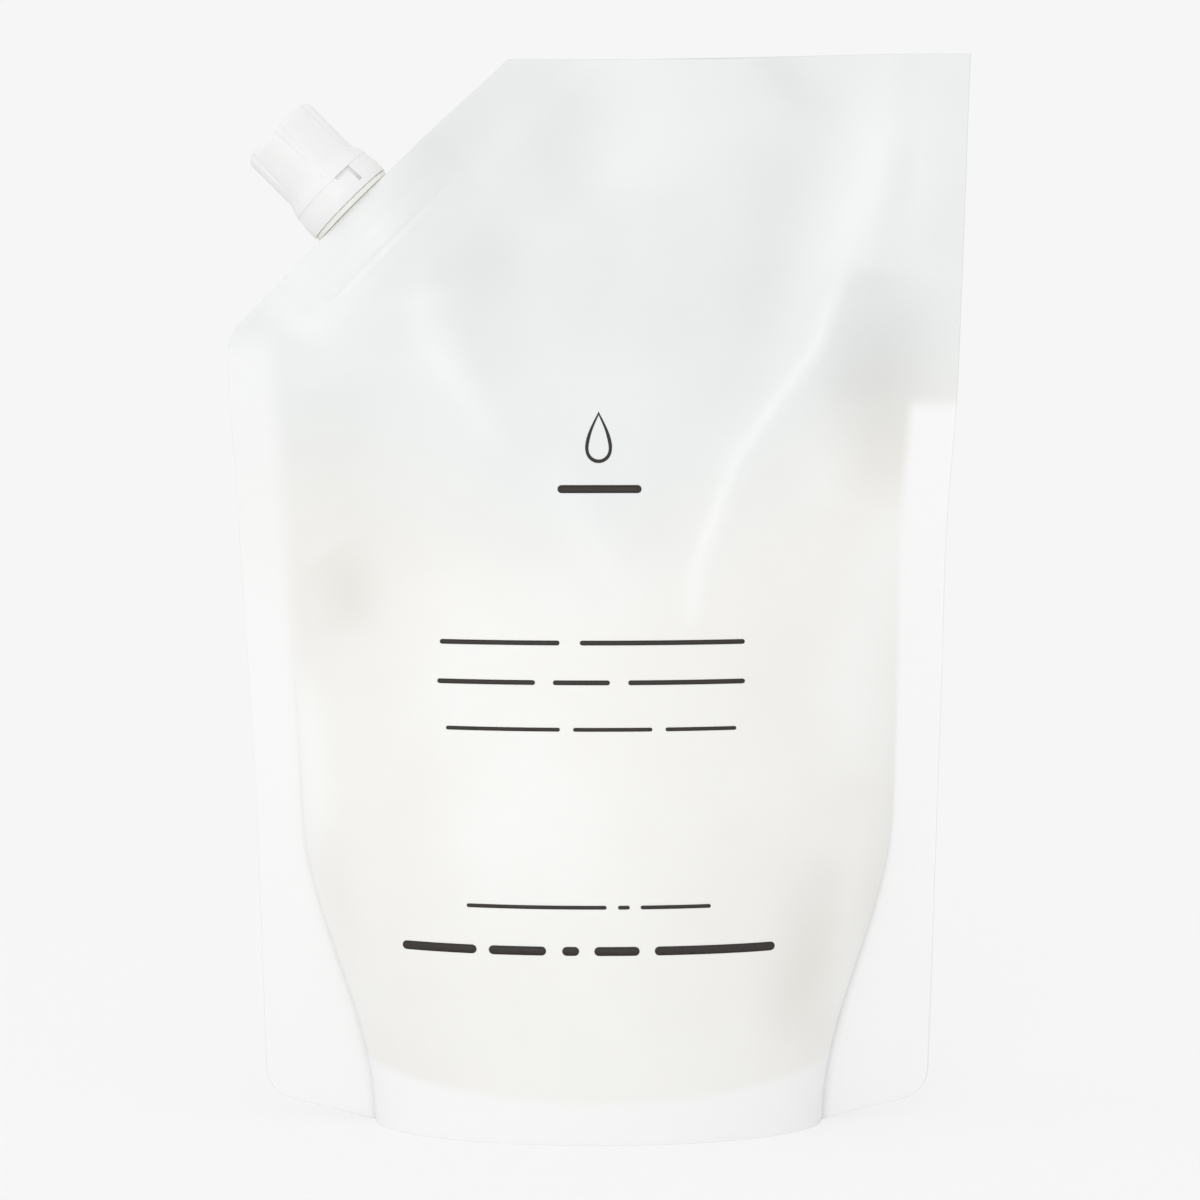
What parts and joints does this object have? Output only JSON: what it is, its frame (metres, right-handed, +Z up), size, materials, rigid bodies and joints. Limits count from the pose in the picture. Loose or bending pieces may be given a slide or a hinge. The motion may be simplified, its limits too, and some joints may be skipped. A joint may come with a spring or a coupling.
{
  "type": "soap refill pouch",
  "caption": "Stand-up film pouch of liquid soap with a bottom gusset, a spout welded into its cut corner and a fluted screw cap over a tamper band.",
  "frame": {"origin": "centre of the bounding box at floor level, where the filled base stands", "axes": "+Z up, the front panel faces -Y, the spout leaves the upper corner on the -X side at 45 degrees"},
  "size_m": [0.16, 0.051, 0.232],
  "materials": {
    "film": "frosted laminate film, heat sealed",
    "spout_plastic": "moulded natural polyethylene",
    "cap_plastic": "moulded white polypropylene, satin",
    "band_plastic": "moulded white polyethylene, satin"
  },
  "bodies": {
    "pouch": {"pouch": "film", "spout": "spout_plastic"},
    "tamper_band": {"tamper_band": "band_plastic"},
    "cap": {"cap": "cap_plastic"}
  },
  "joints": [
    {"name": "cap_turn", "type": "hinge", "parent": "pouch", "child": "tamper_band", "pos_m": [-0.05259, 0, 0.19891], "axis": [-0.7071, 0, 0.7071], "range_deg": [0, 1980]},
    {"name": "cap_lift", "type": "slide", "parent": "tamper_band", "child": "cap", "axis": [-0.7071, 0, 0.7071], "range_m": [0, 0.0165]}
  ],
  "couplings": [
    {"joint": "cap_lift", "follows": "cap_turn", "m_per_rad": 0.00047746}
  ]
}
